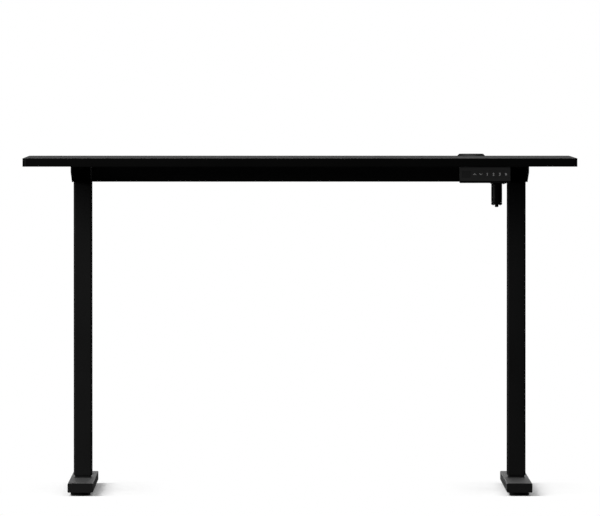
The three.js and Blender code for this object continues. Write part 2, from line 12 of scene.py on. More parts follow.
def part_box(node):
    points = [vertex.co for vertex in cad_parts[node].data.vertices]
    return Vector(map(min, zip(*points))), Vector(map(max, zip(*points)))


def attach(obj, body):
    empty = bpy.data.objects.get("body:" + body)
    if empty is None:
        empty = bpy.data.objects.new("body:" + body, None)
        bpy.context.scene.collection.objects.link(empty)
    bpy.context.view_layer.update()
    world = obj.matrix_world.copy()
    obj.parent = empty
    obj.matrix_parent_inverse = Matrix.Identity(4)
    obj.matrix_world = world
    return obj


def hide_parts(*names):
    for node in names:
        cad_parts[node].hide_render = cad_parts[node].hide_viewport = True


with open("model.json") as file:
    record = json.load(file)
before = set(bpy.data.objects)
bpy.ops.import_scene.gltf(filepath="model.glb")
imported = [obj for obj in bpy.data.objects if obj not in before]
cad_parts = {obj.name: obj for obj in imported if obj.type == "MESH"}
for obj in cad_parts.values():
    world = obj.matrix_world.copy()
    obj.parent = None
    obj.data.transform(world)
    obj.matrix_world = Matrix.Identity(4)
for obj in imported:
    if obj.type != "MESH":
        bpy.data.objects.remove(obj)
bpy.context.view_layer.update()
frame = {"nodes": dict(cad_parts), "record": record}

MM = 0.001
SIDES = ("left", "right")
ENDS = ("front", "rear")
KEYS = ("up", "down", "preset_1", "preset_2", "preset_3", "memory")

# The camera, worked out from the perspective of the board and the feet.
CAMERA_DISTANCE = 20.5  # from the front edge
CAMERA_HEIGHT = 0.939
CAMERA_LEFT = 0.05
FOCAL_LENGTH = 569.05
FRAME_WIDTH = 600
SENSOR = 36
HORIZON_ABOVE_CENTRE = 196.3  # in units of the frame's width of 600
AIM_RIGHT = -0.05  # of the frame's centre, in the same units

# The studio.
FLOOR_HALF = 3.0
FLOOR_DARK, FLOOR_LIGHT, FLOOR_GLOW = 0.80, 0.84, 0.1
FOOT_LINE, FOOT_END = 0.475, 0.315  # the floor is shaded round the feet, and pure white away from them
SHADE_RIGHT = 0.012  # the shade is moved to the right, because the light comes from the left
SHADE_NEAR, SHADE_FAR = 0.04, 0.18  # from a foot's middle line: full shade, and no shade
STUDIO_FILL = 0.012


# ---------------------------------------------------------------- materials

NOISE_LOW, NOISE_HIGH = 0.3, 0.7  # nearly all of a noise lies between them
COLOUR_LOW, COLOUR_HIGH = 0.35, 0.65
WHITE = (1, 1, 1, 1)


def new_material(name):
    material = bpy.data.materials.new(name)
    material.use_nodes = True
    nodes = material.node_tree.nodes
    nodes.clear()
    output = nodes.new("ShaderNodeOutputMaterial")
    shader = nodes.new("ShaderNodeBsdfPrincipled")
    material.node_tree.links.new(shader.outputs["BSDF"], output.inputs["Surface"])
    return material, nodes, material.node_tree.links, shader


def noise(nodes, links, scale, detail=2.0, stretch=(1, 1, 1)):
    """A noise in metres of the row frame, stretched along an axis if asked."""
    place = nodes.new("ShaderNodeTexCoord")
    mapping = nodes.new("ShaderNodeMapping")
    mapping.inputs["Scale"].default_value = stretch
    texture = nodes.new("ShaderNodeTexNoise")
    texture.inputs["Scale"].default_value = scale
    texture.inputs["Detail"].default_value = detail
    links.new(place.outputs["Object"], mapping.inputs["Vector"])
    links.new(mapping.outputs["Vector"], texture.inputs["Vector"])
    return texture.outputs["Fac"]


def remap(nodes, links, value, low, high):
    """Spreads a noise over a range."""
    spread = nodes.new("ShaderNodeMapRange")
    spread.inputs["From Min"].default_value = NOISE_LOW
    spread.inputs["From Max"].default_value = NOISE_HIGH
    spread.inputs["To Min"].default_value = low
    spread.inputs["To Max"].default_value = high
    links.new(value, spread.inputs["Value"])
    return spread.outputs["Result"]


def surface(name, dark, light, rough, grain, cloud=5.0, metallic=0.0, specular=0.5, bump=0.1, depth=0.05,
            stretch=(1, 1, 1)):
    """A finish whose colour and roughness drift slowly, with a fine grain in its colour and its bump."""
    material, nodes, links, shader = new_material(name)
    slow = noise(nodes, links, cloud, 3.0)
    fine = noise(nodes, links, grain, 2.0, stretch)
    blend = nodes.new("ShaderNodeMath")
    blend.operation = "MULTIPLY_ADD"
    blend.inputs[1].default_value = 0.5
    half = nodes.new("ShaderNodeMath")
    half.operation = "MULTIPLY"
    half.inputs[1].default_value = 0.5
    links.new(fine, half.inputs[0])
    links.new(slow, blend.inputs[0])
    links.new(half.outputs[0], blend.inputs[2])
    ramp = nodes.new("ShaderNodeValToRGB")
    ramp.color_ramp.elements[0].position = COLOUR_LOW
    ramp.color_ramp.elements[0].color = (*dark, 1)
    ramp.color_ramp.elements[1].position = COLOUR_HIGH
    ramp.color_ramp.elements[1].color = (*light, 1)
    links.new(blend.outputs[0], ramp.inputs["Fac"])
    links.new(ramp.outputs["Color"], shader.inputs["Base Color"])
    links.new(remap(nodes, links, blend.outputs[0], *rough), shader.inputs["Roughness"])
    shader.inputs["Metallic"].default_value = metallic
    shader.inputs["Specular IOR Level"].default_value = specular
    lump = nodes.new("ShaderNodeBump")
    lump.inputs["Strength"].default_value = bump
    lump.inputs["Distance"].default_value = depth * MM
    links.new(fine, lump.inputs["Height"])
    links.new(lump.outputs["Normal"], shader.inputs["Normal"])
    return material


def grey(value, warm=0.0):
    """An even grey, or a slightly warm one."""
    return (value * (1 + warm), value, value * (1 - warm))


POWDER = surface("black_powder_coat", grey(0.011), grey(0.017), (0.42, 0.56), 1100, bump=0.35, depth=0.08,
                 specular=0.32)
LAMINATE = surface("black_laminate", grey(0.010), grey(0.014), (0.48, 0.6), 1600, cloud=2.5, bump=0.3,
                   depth=0.05, specular=0.3)
EDGING = surface("black_edge_band", grey(0.003), grey(0.0042), (0.4, 0.5), 700, bump=0.15, depth=0.03,
                 specular=0.15, stretch=(1, 1, 6))
PLASTIC = surface("black_moulded_plastic", grey(0.011), grey(0.015), (0.46, 0.6), 1500, bump=0.3, depth=0.04,
                  specular=0.35)
KEYPAD = surface("keypad_plastic", grey(0.030), grey(0.036), (0.5, 0.6), 1800, bump=0.25, depth=0.03,
                 specular=0.4)
GLOSS = surface("smoked_window", grey(0.036), grey(0.040), (0.12, 0.2), 300, bump=0.02, depth=0.01,
                specular=0.4)
CAP_PLASTIC = surface("foot_cap_plastic", grey(0.017), grey(0.023), (0.46, 0.6), 1500, bump=0.3, depth=0.04,
                      specular=0.4)
RUBBER = surface("pad_rubber", grey(0.018), grey(0.026), (0.75, 0.9), 900, bump=0.4, depth=0.08, specular=0.2)
MOTOR_PAINT = surface("motor_enamel", grey(0.012), grey(0.016), (0.38, 0.46), 500, bump=0.08, depth=0.02,
                      specular=0.5)
BOLT = surface("blackened_steel", grey(0.05), grey(0.08), (0.3, 0.42), 1400, metallic=1.0, bump=0.15,
               depth=0.02)
ZINC = surface("zinc_plate", grey(0.5), grey(0.62), (0.28, 0.4), 900, metallic=1.0, bump=0.1, depth=0.02)
STEEL = surface("machined_steel", grey(0.3), grey(0.42), (0.25, 0.38), 1200, metallic=1.0, bump=0.2,
                depth=0.02, stretch=(1, 1, 12))
BRASS = surface("machined_brass", (0.5, 0.36, 0.13), (0.62, 0.46, 0.18), (0.25, 0.36), 1200, metallic=1.0,
                bump=0.15, depth=0.02)
NYLON = surface("natural_nylon", grey(0.62, 0.04), grey(0.72, 0.04), (0.45, 0.55), 600, bump=0.1, depth=0.02)
PRINT = surface("pale_print", grey(0.75), grey(0.85), (0.5, 0.6), 2500, bump=0.1, depth=0.01)
GOLD = surface("contact_plate", (0.55, 0.42, 0.16), (0.65, 0.5, 0.2), (0.25, 0.35), 900, metallic=1.0)

FINISHES = {
    "desktop_laminate": LAMINATE,
    "coated_steel": POWDER,
    "moulded_plastic": PLASTIC,
    "key_plastic": KEYPAD,
    "display_lens": GLOSS,
    "pad_rubber": RUBBER,
    "zinc_steel": ZINC,
    "gear_steel": STEEL,
    "brass": BRASS,
    "nylon": NYLON,
}


# ---------------------------------------------------------------- mesh helpers

CORNER_STEPS = 8
SHARP = math.radians(40)
EDGE_TURN = math.radians(35)  # sharper edges are rounded
FLAT = math.radians(1)  # faces closer to one plane than this are merged


def rounded(w, h, r, steps=CORNER_STEPS):
    """A rectangle with round corners, centred on the origin, anticlockwise."""
    points = []
    for turn, (cx, cy) in enumerate(((1, 1), (-1, 1), (-1, -1), (1, -1))):
        for step in range(steps + 1):
            angle = (turn + step / steps) * math.pi / 2
            points.append((cx * (w / 2 - r) + r * math.cos(angle), cy * (h / 2 - r) + r * math.sin(angle)))
    return points


def circle(r, steps, centre=(0, 0)):
    """A circle as an outline, anticlockwise."""
    angles = [2 * math.pi * i / steps for i in range(steps)]
    return [(centre[0] + r * math.cos(a), centre[1] + r * math.sin(a)) for a in angles]


def shifted(outline, dx, dy):
    """The same outline somewhere else."""
    return [(x + dx, y + dy) for x, y in outline]


def prism(outer, low, high, holes=()):
    """A closed solid along Z from an outline and its holes."""
    shape = bmesh.new()
    loops = [outer, *holes]
    rings = [[[shape.verts.new((x, y, z)) for x, y in loop] for loop in loops] for z in (low, high)]
    for bottom, top in zip(*rings):
        for i, vert in enumerate(bottom):
            j = (i + 1) % len(bottom)
            shape.faces.new((vert, bottom[j], top[j], top[i]))
    flat = [[Vector((x, y, 0)) for x, y in loop] for loop in loops]
    triangles = tessellate_polygon(flat)
    for ring in rings:
        verts = [vert for loop in ring for vert in loop]
        for a, b, c in triangles:
            shape.faces.new((verts[a], verts[b], verts[c]))
    if not holes:
        bmesh.ops.dissolve_limit(shape, angle_limit=FLAT, verts=shape.verts, edges=shape.edges)
    bmesh.ops.recalc_face_normals(shape, faces=shape.faces)
    return shape


def block(low, high):
    """A box by its corners."""
    x0, y0, z0 = low
    x1, y1, z1 = high
    return prism([(x0, y0), (x1, y0), (x1, y1), (x0, y1)], z0, z1)


def lathe(profile, steps):
    """A solid of revolution about Z from (radius, height) points. It is solid where they reach the axis."""
    shape = bmesh.new()
    rings = []
    for r, z in profile:
        if r < 1e-7:
            rings.append([shape.verts.new((0, 0, z))])
        else:
            rings.append([shape.verts.new((x, y, z)) for x, y in circle(r, steps)])
    pairs = list(zip(rings, rings[1:]))
    if len(rings[0]) > 1:
        pairs.append((rings[-1], rings[0]))
    for a, b in pairs:
        for i in range(steps):
            j = (i + 1) % steps
            corners = [a[i % len(a)], a[j % len(a)], b[j % len(b)], b[i % len(b)]]
            unique = list(dict.fromkeys(corners))
            if len(unique) > 2:
                shape.faces.new(unique)
    bmesh.ops.recalc_face_normals(shape, faces=shape.faces)
    return shape


def moved(shape, offset):
    """Moves the shape itself, and gives it back."""
    bmesh.ops.translate(shape, verts=shape.verts, vec=Vector(offset))
    return shape


def turned(shape, matrix):
    """Turns the shape itself, and gives it back."""
    bmesh.ops.transform(shape, matrix=matrix, verts=shape.verts)
    return shape


def along(shape, axis):
    """Turns a solid made along Z to lie along another axis: its own X, Y, Z become Y, Z, X or Z, X, Y."""
    rows = {"X": ((0, 0, 1), (1, 0, 0), (0, 1, 0)), "Y": ((0, 1, 0), (0, 0, 1), (1, 0, 0))}
    return turned(shape, Matrix(rows[axis]).to_4x4())


def bevel(shape, edges, width, segments):
    """Rounds the given edges."""
    bmesh.ops.bevel(shape, geom=edges, offset=width, offset_type="OFFSET", segments=segments, profile=0.5,
                    affect="EDGES", clamp_overlap=True)
    return shape


def soften(shape, width, segments=2):
    """Rounds every edge at which the surface turns by more than EDGE_TURN."""
    edges = [e for e in shape.edges if len(e.link_faces) == 2 and e.calc_face_angle(0) > EDGE_TURN]
    return bevel(shape, edges, width, segments)


def joined(*shapes):
    """One shape made of several."""
    whole = bmesh.new()
    for shape in shapes:
        mesh = bpy.data.meshes.new("part")
        shape.to_mesh(mesh)
        shape.free()
        whole.from_mesh(mesh)
        bpy.data.meshes.remove(mesh)
    return whole


def loose_object(shape):
    """An object for a boolean, to be removed afterwards."""
    mesh = bpy.data.meshes.new("loose")
    shape.to_mesh(mesh)
    shape.free()
    thing = bpy.data.objects.new("loose", mesh)
    bpy.context.scene.collection.objects.link(thing)
    return thing


def carved(shape, *tools):
    """The solid less each tool."""
    base = loose_object(shape)
    cutters = [loose_object(tool) for tool in tools]
    for cutter in cutters:
        cut = base.modifiers.new("cut", "BOOLEAN")
        cut.operation = "DIFFERENCE"
        cut.solver = "EXACT"
        cut.object = cutter
    result = bmesh.new()
    result.from_object(base, bpy.context.evaluated_depsgraph_get())
    for thing in (base, *cutters):
        mesh = thing.data
        bpy.data.objects.remove(thing)
        bpy.data.meshes.remove(mesh)
    bmesh.ops.remove_doubles(result, verts=result.verts, dist=1e-6)
    bmesh.ops.dissolve_limit(result, angle_limit=FLAT, verts=result.verts, edges=result.edges)
    return result


def piece(name, shape, finish, body, slot, *stands_for):
    """Makes a shown piece that rides on a body, and hides the CAD nodes it stands for."""
    mesh = bpy.data.meshes.new(name)
    shape.to_mesh(mesh)
    shape.free()
    mesh.polygons.foreach_set("use_smooth", [True] * len(mesh.polygons))
    mesh.set_sharp_from_angle(angle=SHARP)
    mesh.materials.append(finish)
    thing = bpy.data.objects.new(name, mesh)
    bpy.context.scene.collection.objects.link(thing)
    shading = thing.modifiers.new("shading", "WEIGHTED_NORMAL")
    shading.keep_sharp = True
    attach(thing, body)
    if stands_for:
        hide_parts(*stands_for)


def span(node):
    """A CAD node's low corner, high corner, middle and size."""
    low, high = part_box(node)
    return low, high, (low + high) / 2, high - low


# ---------------------------------------------------------------- carried-over CAD nodes

CAD_EDGE, GEAR_EDGE = 0.35 * MM, 0.12 * MM
WELD_GAP = 0.005 * MM


def dress_cad_nodes():
    """Gives every CAD node its procedural finish, and rounds its edges."""
    slots = {part["node"]: part["material_slot"] for part in frame["record"]["subparts"]}
    for name, node in frame["nodes"].items():
        node.data.materials.clear()
        node.data.materials.append(FINISHES[slots[name]])
        weld = node.modifiers.new("weld", "WELD")
        weld.merge_threshold = WELD_GAP
        flat = node.modifiers.new("flat", "DECIMATE")
        flat.decimate_type = "DISSOLVE"
        flat.angle_limit = FLAT
        edge = node.modifiers.new("edge", "BEVEL")
        edge.width = GEAR_EDGE if slots[name] == "gear_steel" else CAD_EDGE
        edge.segments = 2
        edge.limit_method = "ANGLE"
        edge.angle_limit = EDGE_TURN
        shading = node.modifiers.new("shading", "WEIGHTED_NORMAL")
        shading.keep_sharp = True


# ---------------------------------------------------------------- fasteners

def socket_screw(r, height, across, depth):
    """A low round head with a hexagonal socket, its seat at z = 0."""
    rim = min(0.5 * MM, height / 2)
    head = lathe([(0, 0), (r, 0), (r, height - rim), (r - rim * 0.3, height - rim * 0.3), (r - rim, height),
                  (0, height)], 32)
    key = prism(circle(across / math.sqrt(3), 6), height - depth, height + MM)
    return carved(head, key)


def cross_screw(r, height):
    """A pan head with a cross recess, its seat at z = 0."""
    profile = [(0, 0), (r, 0), (r, height * 0.35), (r * 0.85, height * 0.75), (r * 0.5, height), (0, height)]
    head = lathe(profile, 24)
    arm, thin = r * 0.6, r * 0.13
    slots = [block((-a, -b, height * 0.45), (a, b, height * 2)) for a, b in ((arm, thin), (thin, arm))]
    return carved(head, *slots)


def screws(name, make, places, turn, finish, body, slot):
    """One piece for a set of equal screws."""
    heads = [moved(turned(make(), turn), place) for place in places]
    piece(name, joined(*heads), finish, body, slot)


DOWN = Matrix.Rotation(math.pi, 4, "X")
OUTWARD = {"left": Matrix.Rotation(-math.pi / 2, 4, "Y"), "right": Matrix.Rotation(math.pi / 2, 4, "Y")}


# ---------------------------------------------------------------- desktop and grommet

BAND = 1.5 * MM
SEAM = 0.08 * MM
BOARD_CORNER = 8 * MM
BOARD_EDGE, BAND_EDGE = 0.25 * MM, 1.2 * MM  # the rounding of the board's and the band's edges
OUTLINE_TURN = 0.6  # the band's long edges turn by more than this angle
GROMMET_HOLE = 27 * MM
REBATE_RADIUS, REBATE_DEPTH = 31.6 * MM, 0.8 * MM  # the grommet's flange lies in it
GROMMET_BORE, GROMMET_SEAT = 22.5 * MM, 24.7 * MM  # radii
CROWN_WIDTH, CROWN_STEPS, CROWN_CURVE = 5.4 * MM, 8, 1.6
LID_STEPS, LID_RING = 72, (15 * MM, 16 * MM)
NOTCH_HALF, NOTCH_END, NOTCH_STEPS = 7 * MM, 10 * MM, 16


def desktop():
    low, high, _, size = span("desktop")
    _, _, hole, _ = span("grommet_sleeve")
    inset = BAND + SEAM
    opening = circle(GROMMET_HOLE, 64, (hole.x, hole.y))
    board = prism(rounded(size.x - 2 * inset, size.y - 2 * inset, BOARD_CORNER - inset), low.z, high.z,
                  [opening])
    rebate = prism(circle(REBATE_RADIUS, 64, (hole.x, hole.y)), high.z - REBATE_DEPTH, high.z + MM)
    board = soften(carved(board, rebate), BOARD_EDGE)
    piece("desktop_board", board, LAMINATE, "upper_frame", "desktop_laminate", "desktop")
    band = prism(rounded(size.x, size.y, BOARD_CORNER, 12), low.z, high.z,
                 [rounded(size.x - 2 * BAND, size.y - 2 * BAND, BOARD_CORNER - BAND, 12)])
    rim = [e for e in band.edges if len(e.link_faces) == 2 and e.calc_face_angle(0) > OUTLINE_TURN
           and is_outer(e, size)]
    piece("desktop_edge_band", bevel(band, rim, BAND_EDGE, 4), EDGING, "upper_frame", "desktop_laminate")


def is_outer(edge, size):
    """True for an edge on the outer outline of the band."""
    inside_x, inside_y = size.x / 2 - BOARD_CORNER, size.y / 2 - BOARD_CORNER
    for vert in edge.verts:
        dx, dy = max(abs(vert.co.x) - inside_x, 0), max(abs(vert.co.y) - inside_y, 0)
        if math.hypot(dx, dy) < BOARD_CORNER - BAND / 2:
            return False
    return True


def grommet():
    low, high, mid, size = span("grommet_sleeve")
    desk_top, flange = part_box("desktop")[1].z, size.x / 2
    crown = []
    for step in range(CROWN_STEPS + 1):
        slope = step / CROWN_STEPS
        rise = 1 - (1 - slope) ** CROWN_CURVE
        crown.append((flange - CROWN_WIDTH * slope, desk_top + (high.z - desk_top) * rise))
    neck, under = GROMMET_HOLE - 0.3 * MM, desk_top - 0.5 * MM
    seat_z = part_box("grommet_cap")[0].z - 0.3 * MM
    profile = [(GROMMET_BORE, low.z), (neck, low.z), (neck, under), (flange, under), *crown,
               (GROMMET_SEAT + 0.6 * MM, high.z), (GROMMET_SEAT, high.z - 0.6 * MM), (GROMMET_SEAT, seat_z),
               (GROMMET_BORE, seat_z)]
    sleeve = moved(lathe(profile, 96), (mid.x, mid.y, 0))
    piece("cable_grommet_sleeve", sleeve, PLASTIC, "upper_frame", "moulded_plastic", "grommet_sleeve")

    low, high, mid, size = span("grommet_cap")
    r = size.x / 2
    start = math.asin(NOTCH_HALF / r)
    outline = []
    for i in range(LID_STEPS + 1):
        angle = math.pi / 2 + start + i * (2 * math.pi - 2 * start) / LID_STEPS
        outline.append((r * math.cos(angle), r * math.sin(angle)))
    for i in range(NOTCH_STEPS + 1):
        angle = i * math.pi / NOTCH_STEPS
        outline.append((NOTCH_HALF * math.cos(angle), NOTCH_END + NOTCH_HALF * (1 - math.sin(angle))))
    lid = prism(outline, low.z, high.z)
    inner, outer = LID_RING
    base, above = high.z - 0.5 * MM, high.z + MM
    ring = lathe([(inner, base), (outer, base), (outer, above), (inner, above)], 64)
    lid = moved(soften(carved(lid, ring), 0.4 * MM), (mid.x, low.y + r, 0))
    piece("cable_grommet_cap", lid, PLASTIC, "grommet_lid", "moulded_plastic", "grommet_cap")


# ---------------------------------------------------------------- columns and feet

TUBE_WALL = 1.5 * MM
OUTER_CORNER, INNER_CORNER = 4 * MM, 3 * MM
CAP_FLANGE, CAP_EDGE = 3 * MM, 0.9 * MM
PLUG_INSET, PLUG_WALL = 2.4 * MM, 2.1 * MM
PAD_HEIGHT = 6.7 * MM
STUD_RADIUS, THREAD_ROOT, THREAD_PITCH = 4 * MM, 3.4 * MM, 1.25 * MM
FOOT_WALL = 2.3 * MM
FOOT_BOLT_X, FOOT_BOLT_Y = 9 * MM, 22 * MM  # from the foot's middle


def tube(node, corner, body):
    """An upright rectangular tube."""
    low, high, mid, size = span(node)
    outer = rounded(size.x, size.y, corner)
    inner = rounded(size.x - 2 * TUBE_WALL, size.y - 2 * TUBE_WALL, corner - TUBE_WALL)
    shape = soften(prism(outer, low.z, high.z, [inner]), 0.3 * MM)
    piece(f"{node}_steel", moved(shape, (mid.x, mid.y, 0)), POWDER, body, "coated_steel", node)


def columns():
    for side in SIDES:
        tube(f"outer_tube_{side}", OUTER_CORNER, "upper_frame")
        tube(f"inner_tube_{side}", INNER_CORNER, f"{side}_base")


def feet():
    for side in SIDES:
        for end in ENDS:
            foot_cap(side, end)
            levelling_pad(side, end)
        foot_bolts(side)


def foot_cap(side, end):
    """A plug whose face is slightly crowned, with a seam to the tube."""
    node = f"foot_cap_{side}_{end}"
    low, high, mid, size = span(node)
    out = -1 if end == "front" else 1
    face = low.y if end == "front" else high.y
    flange = face - out * CAP_FLANGE
    skin = prism(rounded(size.z, size.x, 2 * MM), 0, CAP_FLANGE)
    crown = [v for v in skin.verts if v.co.z > 0]
    bmesh.ops.scale(skin, vec=(0.995, 0.998, 1), verts=crown)
    soften(skin, CAP_EDGE, 4)
    less = 2 * PLUG_INSET
    bore = less + 2 * PLUG_WALL
    plug = prism(rounded(size.z - less, size.x - less, MM), CAP_FLANGE - size.y, -0.02 * MM,
                 [rounded(size.z - bore, size.x - bore, 0.6 * MM)])
    shape = along(joined(skin, soften(plug, 0.3 * MM)), "Y")
    if out < 0:
        turned(shape, Matrix.Rotation(math.pi, 4, "Z"))
    moved(shape, (mid.x, flange, mid.z))
    piece(f"{node}_plug", shape, CAP_PLASTIC, f"{side}_base", "moulded_plastic", node)


def levelling_pad(side, end):
    """A round rubber sole with a groove in its rim, on a threaded stud."""
    node = f"levelling_pad_{side}_{end}"
    _, high, mid, size = span(node)
    r, h = size.x / 2, PAD_HEIGHT
    groove = r - 0.5 * MM
    sole = lathe([(0, 0), (r - 1.6 * MM, 0), (groove, 0.35 * MM), (r, 1.5 * MM), (r, 3.2 * MM),
                  (groove, 3.4 * MM), (groove, 3.8 * MM), (r, 4 * MM), (r, 5.6 * MM), (r - MM, h - 0.1 * MM),
                  (STUD_RADIUS, h), (0, h)], 72)
    place = (mid.x, mid.y, 0)
    piece(f"{node}_sole", moved(sole, place), RUBBER, f"pad_{side}_{end}", "pad_rubber", node)
    start, z = h + 0.02 * MM, h + 0.6 * MM
    thread = [(0, start), (THREAD_ROOT, start)]
    while z < high.z - 1.6 * MM:
        thread += [(THREAD_ROOT, z), (STUD_RADIUS, z + 0.5 * MM), (THREAD_ROOT, z + MM)]
        z += THREAD_PITCH
    thread += [(3.2 * MM, high.z - 0.4 * MM), (2.6 * MM, high.z), (0, high.z)]
    piece(f"{node}_stud", moved(lathe(thread, 32), place), ZINC, f"pad_{side}_{end}", "zinc_steel")


def foot_bolts(side):
    """Four bolts, seen through the holes under the foot, that hold the column to it."""
    _, high, mid, _ = span(f"foot_{side}")
    seat = high.z - FOOT_WALL
    places = [(mid.x + x, y, seat) for x in (-FOOT_BOLT_X, FOOT_BOLT_X) for y in (-FOOT_BOLT_Y, FOOT_BOLT_Y)]
    screws(f"foot_bolts_{side}", lambda: socket_screw(6.5 * MM, 7 * MM, 6 * MM, 4 * MM), places, DOWN, BOLT,
           f"{side}_base", "zinc_steel")


# ---------------------------------------------------------------- frame under the desktop

BAR_CORNER = 2.5 * MM
SLOT_X, SLOT_LENGTH, SLOT_WIDTH = (-0.40, -0.33, 0.33, 0.40), 18 * MM, 6.4 * MM
ARM_WALL = 1.6 * MM
ARM_SCREW_Y = (-0.225, -0.140, 0.140, 0.225)
HEAD_BOLT_Y, HEAD_BOLT_Z = (-0.040, 0.040), (0.686, 0.703)  # in the frame, as are the screws' places above


def crossbars():
    """Two tubes with slots cut up into their undersides."""
    for name in ("crossbar_front", "crossbar_rear"):
        low, high, mid, size = span(name)
        outer = rounded(size.y, size.z, BAR_CORNER)
        inner = rounded(size.y - 2 * TUBE_WALL, size.z - 2 * TUBE_WALL, BAR_CORNER - TUBE_WALL)
        bar = moved(along(prism(outer, low.x, high.x, [inner]), "X"), (0, mid.y, mid.z))
        slots = []
        for x in SLOT_X:
            slot = shifted(rounded(SLOT_LENGTH, SLOT_WIDTH, SLOT_WIDTH / 2 - 0.05 * MM), x, mid.y)
            slots.append(prism(slot, low.z - 5 * MM, low.z + 5 * MM))
        bar = soften(carved(bar, *slots), 0.25 * MM)
        piece(f"{name}_tube", bar, POWDER, "upper_frame", "coated_steel", name)


def arm_screws():
    """Wood screws up into the desktop, and flush bolts through the arm into the column head."""
    for side in SIDES:
        low, high, mid, _ = span(f"side_arm_{side}")
        web = high.z - ARM_WALL
        places = [(mid.x, y, web) for y in ARM_SCREW_Y]
        screws(f"desk_screws_{side}", lambda: cross_screw(5 * MM, 2.6 * MM), places, DOWN, BOLT,
               "upper_frame", "zinc_steel")
        face = low.x if side == "left" else high.x
        places = [(face, y, z) for y in HEAD_BOLT_Y for z in HEAD_BOLT_Z]
        screws(f"head_bolts_{side}", lambda: socket_screw(5 * MM, 0.9 * MM, 3 * MM, 0.8 * MM), places,
               OUTWARD[side], BOLT, "upper_frame", "zinc_steel")


# ---------------------------------------------------------------- motor

GROOVE = 0.35 * MM  # depth of the lines rolled into the can
SHAFT_HOLE, SHAFT_DEPTH = 4.5 * MM, 12 * MM
BOSS_RADIUS, BOSS_HEIGHT = 4 * MM, 5 * MM
PORT_HALF, PORT_DEPTH = 2.4 * MM, 2.2 * MM
MOTOR_SCREW_X = 7.6 * MM
GEARBOX_SCREW_X, GEARBOX_SCREW_Y = (5 * MM, 29 * MM), (-12.5 * MM, 12.5 * MM)


def rolled_line(r, z):
    """Points up a wall of radius r with a shallow groove that starts at z."""
    return [(r, z), (r - GROOVE, z + 0.3 * MM), (r - GROOVE, z + MM), (r, z + 1.3 * MM)]


def motor():
    low, high, mid, size = span("motor_can")
    r, z0, z1 = size.x / 2, low.z, high.z
    can = lathe([(0, z0), (r - 0.5 * MM, z0), (r, z0 + 0.5 * MM), *rolled_line(r, z0 + 3 * MM),
                 *rolled_line(r, z1 - 6 * MM), (r, z1 - 0.4 * MM), (r - 0.4 * MM, z1), (SHAFT_HOLE, z1),
                 (SHAFT_HOLE, z1 - SHAFT_DEPTH), (0, z1 - SHAFT_DEPTH)], 72)
    moved(can, (mid.x, mid.y, 0))
    piece("motor_body", can, MOTOR_PAINT, "upper_frame", "coated_steel", "motor_can")

    low, high, mid, _ = span("motor_end_cap")
    face = low.z + BOSS_HEIGHT
    cap = lathe([(0, low.z), (BOSS_RADIUS - MM, low.z), (BOSS_RADIUS, low.z + MM),
                 (BOSS_RADIUS, face - 0.6 * MM), (BOSS_RADIUS + 0.6 * MM, face), (r - 1.6 * MM, face),
                 (r - 0.4 * MM, face + 0.5 * MM), (r, face + 1.4 * MM), (r, high.z - 0.3 * MM),
                 (r - 0.3 * MM, high.z), (0, high.z)], 72)
    port = block((-PORT_HALF, r - PORT_DEPTH, face + 1.6 * MM), (PORT_HALF, r + MM, high.z - 0.6 * MM))
    piece("motor_end_bell", moved(carved(cap, port), (mid.x, mid.y, 0)), PLASTIC, "upper_frame",
          "moulded_plastic", "motor_end_cap")
    places = [(mid.x + x, mid.y, face) for x in (-MOTOR_SCREW_X, MOTOR_SCREW_X)]
    screws("motor_screws", lambda: cross_screw(1.8 * MM, 1.1 * MM), places, DOWN, BOLT, "upper_frame",
           "zinc_steel")


def gearbox_screws():
    low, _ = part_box("gearbox_right")
    places = [(low.x + x, y, low.z) for x in GEARBOX_SCREW_X for y in GEARBOX_SCREW_Y]
    screws("gearbox_screws", lambda: cross_screw(2.6 * MM, 1.4 * MM), places, DOWN, BOLT, "upper_frame",
           "zinc_steel")


# ---------------------------------------------------------------- keypad

STEP_HEIGHT, STEP_DEPTH = 4.4 * MM, 7 * MM  # the shell hangs lower than the face in front of it
HOUSING_CORNER, HOUSING_EDGE = 1.8 * MM, 0.5 * MM
WELL_GAP, WELL_CORNER = 0.12 * MM, 1.1 * MM
KEY_WELL, LENS_WELL = 6 * MM, 1.8 * MM  # depths
SOCKET_LOW, SOCKET_HIGH = 686 * MM, 698 * MM  # heights above the floor
SOCKET_HALF, SOCKET_DEPTH = 10 * MM, 8 * MM
SCREW_INSET, SCREW_RECESS, RECESS_RADIUS = 9 * MM, 1.4 * MM, 3.1 * MM
PIN_COUNT, PIN_PITCH, PIN_WIDTH, PIN_LIFT = 8, 2 * MM, 0.7 * MM, 5.4 * MM


def well(first, last, depth):
    """The tool that cuts the recess which the pieces from one node to another sit in."""
    low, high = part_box(first)[0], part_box(last)[1]
    mid, size = (low + high) / 2, high - low
    outline = rounded(size.z + 2 * WELL_GAP, size.x + 2 * WELL_GAP, WELL_CORNER)
    return along(prism(shifted(outline, mid.z, mid.x), low.y - 2 * MM, low.y + depth), "Y")


